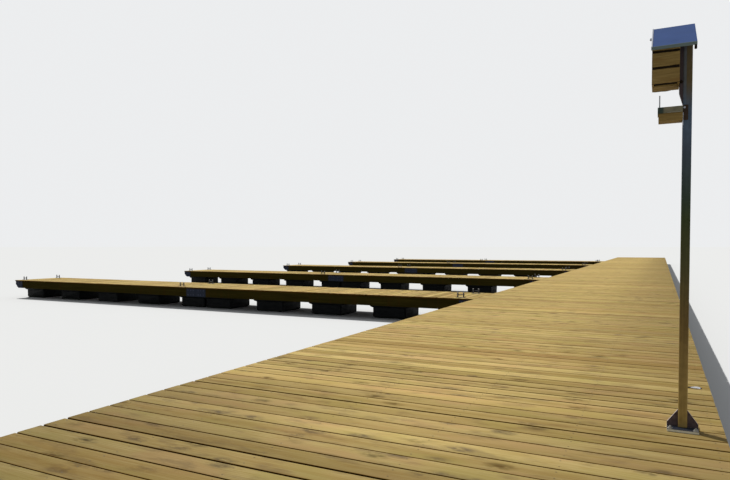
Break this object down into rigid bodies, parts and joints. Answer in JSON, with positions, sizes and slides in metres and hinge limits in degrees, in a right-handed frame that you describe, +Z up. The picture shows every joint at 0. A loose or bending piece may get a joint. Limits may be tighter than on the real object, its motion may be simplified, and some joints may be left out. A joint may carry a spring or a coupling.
{
  "type": "half-scale model of a floating wooden jetty",
  "caption": "Floating boarded walkway on black floats with mooring fingers along one side, H-shaped bitts and a roofed box on a post, modelled at half size",
  "frame": {"origin": "middle of the footprint, at the waterline where the floats end", "axes": "+Y runs along the walkway away from the shore end, the fingers reach out along -X, +Z is up"},
  "size_m": [8.4528, 26.9974, 1.377],
  "materials": {
    "deck_boards": "new softwood boards, planed, honey yellow with knots",
    "frame_timber": "pressure-treated structural timber, dark olive brown",
    "float_shell": "black moulded polyethylene",
    "galvanised_plate": "hot-dip galvanised sheet, blue-grey",
    "buffer_rubber": "black rubber",
    "bitt_steel": "dark grey steel, worn bright at the tops",
    "post_steel": "grey-brown steel",
    "bright_steel": "bright steel",
    "box_boards": "stained softwood boards",
    "dark_plate": "dark brown steel plate",
    "roof_sheet": "folded sheet metal, bluish grey"
  },
  "bodies": {
    "root": {"walkway_deck_1": "deck_boards", "walkway_deck_2": "deck_boards", "walkway_deck_3": "deck_boards", "walkway_deck_4": "deck_boards", "walkway_deck_5": "deck_boards", "walkway_deck_6": "deck_boards", "walkway_deck_7": "deck_boards", "walkway_deck_8": "deck_boards", "walkway_edge_beams": "frame_timber", "walkway_end_beams": "frame_timber", "walkway_joists": "frame_timber", "walkway_bearers": "frame_timber", "walkway_floats": "float_shell", "walkway_corner_plates": "galvanised_plate", "walkway_buffers": "buffer_rubber", "finger_deck_1": "deck_boards", "finger_deck_2": "deck_boards", "finger_deck_3": "deck_boards", "finger_deck_4": "deck_boards", "finger_deck_5": "deck_boards", "finger_edge_beams": "frame_timber", "finger_end_beams": "frame_timber", "finger_joists": "frame_timber", "finger_bearers": "frame_timber", "finger_floats": "float_shell", "finger_corner_plates": "galvanised_plate", "finger_buffers": "buffer_rubber", "finger_root_brackets": "galvanised_plate", "mooring_bitts": "bitt_steel", "post": "post_steel", "post_base": "galvanised_plate", "post_side_pin": "bright_steel", "boarded_box": "box_boards", "box_mounting_plate": "dark_plate", "sheet_roof": "roof_sheet", "lower_box": "box_boards", "lower_box_lid": "roof_sheet"}
  },
  "joints": []
}
